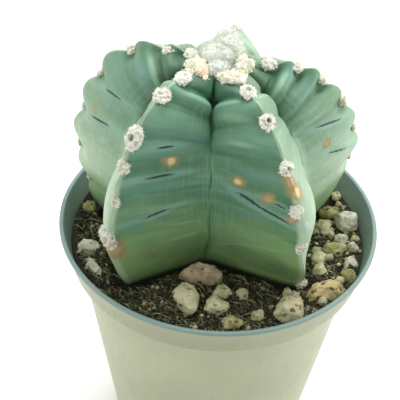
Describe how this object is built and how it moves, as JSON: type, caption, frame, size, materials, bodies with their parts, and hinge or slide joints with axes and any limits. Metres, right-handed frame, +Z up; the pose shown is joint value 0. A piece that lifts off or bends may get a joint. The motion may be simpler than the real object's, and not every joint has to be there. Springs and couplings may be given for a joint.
{
  "type": "potted bishops cap cactus",
  "caption": "Star-shaped ribbed cactus with woolly areoles, standing in dark soil strewn with pumice in a tapering plastic nursery pot.",
  "frame": {"origin": "centre of the pot's flat underside", "axes": "+Z up along the pot's axis, -Y towards the side that shows a valley between two ribs, +X to that side's right"},
  "size_m": [0.11, 0.11, 0.163],
  "materials": {
    "pot_plastic": "grey-green moulded polypropylene, thin walled, soft satin sheen",
    "soil_mix": "dark fibrous peat mix with crumbs and fine grit, matt",
    "cactus_skin": "firm waxy glaucous green plant skin, satin, with tan corky scars; stands in for living plant tissue",
    "wool": "grey-white felted plant wool with cream dried flower remains, matt",
    "pumice": "rough pitted pumice, beige to yellow-green, matt"
  },
  "bodies": {
    "root": {"pot": "pot_plastic", "soil": "soil_mix", "cactus": "cactus_skin", "crown_wool": "wool", "stone_01": "pumice", "stone_02": "pumice", "stone_03": "pumice", "stone_04": "pumice", "stone_05": "pumice", "stone_06": "pumice", "stone_07": "pumice", "stone_08": "pumice", "stone_09": "pumice", "stone_10": "pumice", "stone_11": "pumice", "stone_12": "pumice", "stone_13": "pumice", "stone_14": "pumice", "stone_15": "pumice", "stone_16": "pumice", "stone_17": "pumice", "stone_18": "pumice", "stone_19": "pumice", "stone_20": "pumice", "stone_21": "pumice", "stone_22": "pumice", "stone_23": "pumice", "stone_24": "pumice"}
  },
  "joints": []
}
